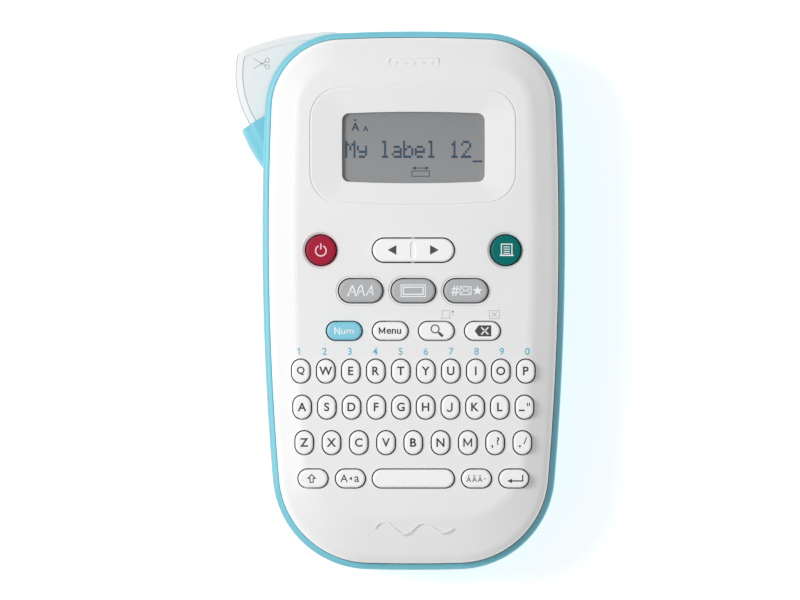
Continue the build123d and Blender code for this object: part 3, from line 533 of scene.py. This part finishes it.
period_drawing = bmesh.new()
dot(period_drawing, -0.95, -1.3, 0.42)
line(period_drawing, [(0.6, -0.5), (1.7, 2.2)], 0.38)
key_legend("period", period_drawing, ink_dark)
print("letter legends done")


# %% [markdown]
# The bottom row has signs and no letters of its own: an open arrow for shift, a small word picture
# for capitals, accented letters, and the bent arrow that starts a new line.

# %% Bottom row
shift_drawing = bmesh.new()
shift_outline = [
    (-0.5, 1.5),
    (0.9, 0.1),
    (0.1, 0.1),
    (0.1, -1.45),
    (-1.1, -1.45),
    (-1.1, 0.1),
    (-1.9, 0.1),
]
line(shift_drawing, shift_outline, 0.4, closed=True)
key_legend("shift", shift_drawing, ink_dark)

caps_drawing = bmesh.new()
letters(caps_drawing, "A", -2.35, 0.1, 2.9, weight=0.006)
patch(caps_drawing, [(-0.55, 0.0), (0.65, 0.72), (0.65, -0.72)])
letters(caps_drawing, "a", 2.45, -0.25, 2.2, weight=0.006)
key_legend("caps", caps_drawing, ink_dark)

accent_drawing = bmesh.new()
for letter_x in (-2.9, -0.75, 1.4):
    letters(accent_drawing, "A", letter_x, -0.35, 1.9, weight=0.014)
line(accent_drawing, [(-3.1, 0.85), (-2.65, 1.3)], 0.3)
line(accent_drawing, [(-1.3, 0.95), (-1.0, 1.15), (-0.5, 0.9), (-0.2, 1.1)], 0.26)
line(accent_drawing, [(0.95, 0.9), (1.4, 1.25), (1.85, 0.9)], 0.26)
for dot_x in (2.9, 3.6):
    dot(accent_drawing, dot_x, -0.1, 0.22)
key_legend("accent", accent_drawing, ink_middle)

enter_drawing = bmesh.new()
line(enter_drawing, [(3.4, 1.5), (3.4, -0.9), (-1.0, -0.9)], 0.5)
patch(enter_drawing, [(-2.5, -0.9), (-0.7, -0.05), (-0.7, -1.75)])
key_legend("enter", enter_drawing, ink_dark)
print("bottom row done")


# %% [markdown]
# The function keys: words on the small pills, a lens and a rub-out tag, and white signs on the
# grey pills. The outlines are drawn from a few corner points each.

# %% Function keys
num_drawing = bmesh.new()
line(num_drawing, [(-3.5, -1.2), (-3.5, 1.25), (-1.8, -1.2), (-1.8, 1.25)], 0.46)
letters(num_drawing, "um", 1.35, -0.3, 1.8, width=4.9, weight=0.018)
key_legend("num", num_drawing, ink_white)

menu_drawing = bmesh.new()
letter_m(menu_drawing, -3.1, 0.1, 2.5, 2.5, 0.5)
letters(menu_drawing, "enu", 1.4, -0.2, 1.9, width=5.6, weight=0.02)
key_legend("menu", menu_drawing, ink_dark)

search_drawing = bmesh.new()
ring(search_drawing, -0.45, 0.75, 1.5, 0.46)
line(search_drawing, [(0.6, -0.35), (1.15, -0.85)], 0.4)
line(search_drawing, [(1.0, -0.7), (2.5, -2.1)], 1.0)
key_legend("search", search_drawing, ink_dark)

delete_drawing = bmesh.new()
patch(delete_drawing, [(-2.9, 0.0), (-1.4, 2.1), (3.4, 2.1), (3.4, -2.1), (-1.4, -2.1)])
key_legend("delete", delete_drawing, ink_dark)
cross_drawing = bmesh.new()
line(cross_drawing, [(-0.4, 1.35), (2.3, -1.35)], 0.5)
line(cross_drawing, [(-0.4, -1.35), (2.3, 1.35)], 0.5)
delete_x, delete_y, delete_z = key_place("delete")
printed(
    "cross_delete",
    cross_drawing,
    nodes["key_delete"]["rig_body"],
    ink_white,
    delete_x,
    delete_y,
    delete_z + ink_height,
)

power_drawing = bmesh.new()
line(power_drawing, arc_points(0.0, -0.2, 2.0, 118, 422), 0.48)
line(power_drawing, [(0.0, 0.3), (0.0, 2.6)], 0.48)
key_legend("power", power_drawing, ink_rose)

print_drawing = bmesh.new()
line(print_drawing, [(-1.6, -1.7), (-1.6, 2.3), (2.4, 2.3), (2.4, -1.7)], 0.4)
line(print_drawing, [(-2.2, -1.95), (3.0, -1.95)], 0.5)
for rule_y in (1.25, 0.4, -0.45, -1.2):
    line(print_drawing, [(-0.8, rule_y), (1.6, rule_y)], 0.32)
key_legend("print", print_drawing, ink_white)
print("function keys done")

# %% Signs on the grey pills
style_drawing = bmesh.new()
line(style_drawing, [(-4.7, -1.75), (-3.25, 1.75), (-2.95, 1.75), (-1.75, -1.75)], 0.5)
line(style_drawing, [(-4.2, -0.5), (-2.3, -0.5)], 0.36)
for foot_x in (-4.75, -1.75):
    line(style_drawing, [(foot_x - 0.55, -1.9), (foot_x + 0.55, -1.9)], 0.3)
flowing_rise = [(-0.9, -1.5), (-1.1, -0.2), (-0.5, 1.3), (0.25, 2.0)]
flowing_fall = [(0.65, 1.5), (0.9, -0.4), (1.6, -2.0)]
line(style_drawing, flowing_rise + flowing_fall, 0.45)
line(style_drawing, [(-0.9, -0.7), (0.0, -0.2), (0.7, -0.2)], 0.34)
line(style_drawing, [(2.2, -1.75), (4.2, 1.75), (4.75, -1.75)], 0.42)
line(style_drawing, [(2.9, -0.6), (4.5, -0.6)], 0.34)
key_legend("style", style_drawing, ink_white)

frame_drawing = bmesh.new()
for half_w, half_h, width in ((4.6, 2.2, 0.34), (3.75, 1.35, 0.42)):
    corners = [(-half_w, -half_h), (half_w, -half_h), (half_w, half_h), (-half_w, half_h)]
    line(frame_drawing, corners, width, closed=True)
key_legend("frame", frame_drawing, ink_white)

symbol_drawing = bmesh.new()
for bar_x in (-4.6, -3.5):
    line(symbol_drawing, [(bar_x - 0.35, -1.95), (bar_x + 0.35, 1.95)], 0.42)
for bar_y in (0.7, -0.65):
    lean = bar_y * 0.35 / 1.95
    for start, end in ((-5.5, -4.83), (-4.37, -3.73), (-3.27, -2.6)):
        line(symbol_drawing, [(start + lean, bar_y), (end + lean, bar_y)], 0.42)
envelope = [(-2.2, -1.5), (2.0, -1.5), (2.0, 1.5), (-2.2, 1.5)]
line(symbol_drawing, envelope, 0.34, closed=True)
line(symbol_drawing, [(-2.1, 1.4), (-0.1, -0.2), (1.9, 1.4)], 0.3)
line(symbol_drawing, [(-2.1, -1.4), (-0.75, 0.1)], 0.26)
line(symbol_drawing, [(1.9, -1.4), (0.55, 0.1)], 0.26)
star = []
for point in range(10):
    radius = 2.0 if point % 2 == 0 else 0.8
    angle = math.radians(90 + 36 * point)
    star.append((4.45 + radius * math.cos(angle), radius * math.sin(angle)))
patch(symbol_drawing, star)
key_legend("symbol", symbol_drawing, ink_white)

cursor_drawing = bmesh.new()
for side in (-1, 1):
    patch(cursor_drawing, [(side * 9.7, 0.1), (side * 6.4, 1.95), (side * 6.4, -1.75)])
key_legend("cursor", cursor_drawing, ink_dark)
print("signs on the pills done")


# %% [markdown]
# Some legends are printed on the cover itself: the turquoise figures over the first letter row,
# which the number key switches to, and two small grey signs over the last two small pills.

# %% Legends on the cover
cover_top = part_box("front_cover")[1].z / mm
digit_height, digit_rise = 2.75, 7.5
for number, name in enumerate("qwertyuiop"):
    x, y, z = key_place(name)
    digit_x = x - 0.65 + 1.15 * number / 9
    drawing = bmesh.new()
    if number == 0:
        line(drawing, [(-0.75, 0.65), (0.1, 1.15), (0.1, -digit_height / 2)], 0.42)
    else:
        letters(drawing, "1234567890"[number], 0.0, 0.0, digit_height, weight=0.014)
    printed(
        f"figure_{name}",
        drawing,
        "shell",
        ink_turquoise,
        digit_x,
        y + digit_rise,
        cover_top,
    )

sign_rise = 6.2
feed_x, feed_y, _ = key_place("search")
feed_drawing = bmesh.new()
line(feed_drawing, [(-1.2, -1.2), (-1.2, 1.5), (1.6, 1.5), (1.6, -1.2)], 0.26)
line(feed_drawing, [(-1.9, -1.4), (2.1, -1.4)], 0.3)
line(feed_drawing, [(2.75, -0.6), (2.75, 1.5)], 0.26)
patch(feed_drawing, [(2.2, 0.9), (3.3, 0.9), (2.75, 1.8)])
printed(
    "sign_feed", feed_drawing, "shell", ink_pale, feed_x + 3.5, feed_y + sign_rise, cover_top,
)

clear_drawing = bmesh.new()
line(clear_drawing, [(-1.9, -1.5), (1.9, -1.5), (1.9, 1.5), (-1.9, 1.5)], 0.26, closed=True)
line(clear_drawing, [(-0.9, -0.9), (0.9, 0.9)], 0.26)
line(clear_drawing, [(-0.9, 0.9), (0.9, -0.9)], 0.26)
printed(
    "sign_clear", clear_drawing, "shell", ink_pale, delete_x + 4.6, delete_y + sign_rise, cover_top,
)
print("cover legends done")


# %% [markdown]
# The display shows text in dots, five wide and seven tall, as such character displays do. Each
# letter is written here as seven short rows of marks, which is how the display's own maker would
# list them. Every dot becomes a thin flat square on the glass's upper face. Real dots are squares
# with a hairline between them, so each is a little smaller than the pitch.

# %% Picture on the display
dot_letters = {
    "M": ("#...#", "##.##", "#.#.#", "#.#.#", "#...#", "#...#", "#...#"),
    "y": (".....", ".....", "#...#", "#...#", ".####", "....#", ".###."),
    "l": (".##..", "..#..", "..#..", "..#..", "..#..", "..#..", ".###."),
    "a": (".....", ".....", ".###.", "....#", ".####", "#...#", ".####"),
    "b": ("#....", "#....", "#.##.", "##..#", "#...#", "#...#", "####."),
    "e": (".....", ".....", ".###.", "#...#", "#####", "#....", ".###."),
    "1": ("..#..", ".##..", "..#..", "..#..", "..#..", "..#..", ".###."),
    "2": (".###.", "#...#", "....#", "...#.", "..#..", ".#...", "#####"),
}
display_ink = moulded("display_dots", shade(44, 72, 94), 0.55, 0.62, 0.03)
glass_top = glass_high.z / mm
letter_pitch, dot_pitch_x, dot_pitch_y = 4.4, 0.78, 0.94
dot_fill = 0.97
first_x, text_top = -25.9, 60.8
shown_text = "My label 12"
text_drawing = bmesh.new()
for column, character in enumerate(shown_text):
    for row, marks in enumerate(dot_letters.get(character, ())):
        for place, mark in enumerate(marks):
            if mark != "#":
                continue
            left = first_x + column * letter_pitch + place * dot_pitch_x
            top = text_top - row * dot_pitch_y
            right = left + dot_pitch_x * dot_fill
            bottom = top - dot_pitch_y * dot_fill
            patch(text_drawing, [(left, bottom), (right, bottom), (right, top), (left, top)])
cursor_left = first_x + len(shown_text) * letter_pitch
cursor_right = cursor_left + 3.7
cursor_low, cursor_high = 52.6, 53.3
cursor_bar = [
    (cursor_left, cursor_low),
    (cursor_right, cursor_low),
    (cursor_right, cursor_high),
    (cursor_left, cursor_high),
]
patch(text_drawing, cursor_bar)
printed("display_text", text_drawing, "shell", display_ink, 0, 0, glass_top)

icon_drawing = bmesh.new()
letters(icon_drawing, "A", -22.1, 66.1, 3.0, weight=0.014)
patch(icon_drawing, [(-22.9, 68.9), (-21.3, 68.9), (-22.1, 68.1)])
letters(icon_drawing, "A", -18.2, 65.4, 2.0, weight=0.014)
line(icon_drawing, [(-0.6, 47.3), (6.1, 47.3), (6.1, 49.3), (-0.6, 49.3)], 0.28, closed=True)
line(icon_drawing, [(0.8, 50.4), (4.7, 50.4)], 0.34)
patch(icon_drawing, [(-0.6, 50.4), (0.9, 51.05), (0.9, 49.75)])
patch(icon_drawing, [(6.1, 50.4), (4.6, 51.05), (4.6, 49.75)])
printed("display_icons", icon_drawing, "shell", display_ink, 0, 0, glass_top)
print("display picture done")


# %% [markdown]
# The lever has a small printed pair of scissors where the thumb goes, in pale grey: two rings for
# the finger loops and two crossed blades.

# %% Scissors on the lever
rim_height = 0.5
lever_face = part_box("cutter_lever")[1].z / mm - rim_height
scissors_x, scissors_y = -58.1, 90.5
scissors_drawing = bmesh.new()
ring(scissors_drawing, 2.1, 1.25, 0.8, 0.36)
ring(scissors_drawing, 2.1, -1.25, 0.8, 0.36)
line(scissors_drawing, [(1.45, 0.8), (-3.1, -1.9)], 0.4)
line(scissors_drawing, [(1.45, -0.8), (-3.1, 1.9)], 0.4)
printed(
    "sign_scissors",
    scissors_drawing,
    "lever",
    ink_pale,
    scissors_x,
    scissors_y,
    lever_face,
)


# %% [markdown]
# The front shell has two plain marks moulded into it: a strip of label with a row of dots over the
# display, and a curl of tape at the foot. They stand a tenth of a millimetre proud in the shell's
# own plastic, so they only show as a soft edge.

# %% Raised marks on the cover
mark_height = 0.1
strip_y, curl_y = 90.2, -86.5
strip_drawing = bmesh.new()
strip_half_w, strip_half_h, strip_corner = 9.5, 1.9, 1.0
strip_points = []
for corner_x, corner_y, start in (
    (strip_half_w, strip_half_h, 0),
    (-strip_half_w, strip_half_h, 90),
    (-strip_half_w, -strip_half_h, 180),
    (strip_half_w, -strip_half_h, 270),
):
    inner_x = corner_x - math.copysign(strip_corner, corner_x)
    inner_y = corner_y - math.copysign(strip_corner, corner_y)
    strip_points += arc_points(inner_x, inner_y, strip_corner, start, start + 90, 6)
line(strip_drawing, strip_points, 0.45, closed=True)
for bead in range(5):
    dot(strip_drawing, (bead - 2) * 3.4, 0.0, 0.7)
printed(
    "mark_strip", strip_drawing, "shell", shell_white, 0, strip_y, cover_top,
    mark_height,
)

curl_drawing = bmesh.new()
curl_length, curl_rise, curl_waves, curl_steps = 30, 2.6, 2, 60
curl_points = []
for step in range(curl_steps + 1):
    along = step / curl_steps
    swing = math.sin(along * 2 * curl_waves * math.pi) * (1 - 0.45 * along)
    curl_points.append((curl_length * (along - 0.5), curl_rise * swing))
line(curl_drawing, curl_points, 0.5)
printed(
    "mark_curl", curl_drawing, "shell", shell_white, 0, curl_y, cover_top,
    mark_height,
)
print("raised marks done")


# %% [markdown]
# The floor is a plain pale sheet that runs far past the object. It gives off a little light of its
# own, as a lit table does, so that it stays pale under the object's edges.

# %% Floor
floor_glow = 0.55


def floor_finish():
    finish, tree, shader, place = new_finish("floor_paper")
    mottle(tree, shader, place, shade(250, 250, 250), 0.004, 3.0)
    shader.inputs["Roughness"].default_value = 0.9
    shader.inputs["Emission Color"].default_value = (1, 1, 1, 1)
    shader.inputs["Emission Strength"].default_value = floor_glow
    return finish


floor_half, floor_z = 3.0, -0.0003
floor_corners = [
    (side_x * floor_half, side_y * floor_half, floor_z)
    for side_x, side_y in ((-1, -1), (1, -1), (1, 1), (-1, 1))
]
floor_mesh = bpy.data.meshes.new("floor")
floor_mesh.from_pydata(floor_corners, [], [(0, 1, 2, 3)])
floor_mesh.materials.append(floor_finish())
floor = bpy.data.objects.new("floor", floor_mesh)
bpy.context.scene.collection.objects.link(floor)


# %% [markdown]
# Product light for a small white object: an even pale surround, and one large soft light on the
# left and a little toward the display end, which gives the shell its slow fall from left to right.
# The keys then throw short shadows to the right and toward the foot. No lamp stands overhead, since
# its mirror image would wash out the deep colours.

# %% Lights
world = bpy.data.worlds.new("studio")
bpy.context.scene.world = world
world.use_nodes = True
surround = world.node_tree.nodes["Background"]
surround.inputs["Color"].default_value = (1.0, 1.0, 1.0, 1.0)
surround.inputs["Strength"].default_value = 0.44


def soft_light(name, place, aim, size, watts):
    lamp = bpy.data.lights.new(name, "AREA")
    lamp.shape = "DISK"
    lamp.size = size
    lamp.energy = watts
    holder = bpy.data.objects.new(name, lamp)
    bpy.context.scene.collection.objects.link(holder)
    holder.location = place
    direction = Vector(aim) - Vector(place)
    holder.rotation_euler = direction.to_track_quat("-Z", "Y").to_euler()
    return holder


light_place, light_aim = (-0.548, 0.125, 0.833), (0, 0, 0.03)
light_width, light_watts = 0.40, 5.7
soft_light("light_left", light_place, light_aim, light_width, light_watts)
print("lights set")


# %% [markdown]
# The camera looks straight down with a very long lens, as catalogue pictures of flat things are
# taken, a touch from the right. A long lens keeps the sides of the case almost out of sight.

# %% Camera
sensor_width = 36.0
view_width = 0.304
camera_distance = 5.0
camera_tilt = math.radians(0.7)
aim = Vector((-0.00504, 0.00023, 0.054))
camera_data = bpy.data.cameras.new("camera")
camera_data.sensor_width = sensor_width
camera_data.lens = sensor_width * camera_distance / view_width
camera_data.clip_end = 20.0
camera = bpy.data.objects.new("camera", camera_data)
bpy.context.scene.collection.objects.link(camera)
camera.location = aim + camera_distance * Vector((math.sin(camera_tilt), 0, math.cos(camera_tilt)))
camera.rotation_euler = (0, camera_tilt, 0)
bpy.context.scene.camera = camera
bpy.context.scene.view_settings.view_transform = "Standard"
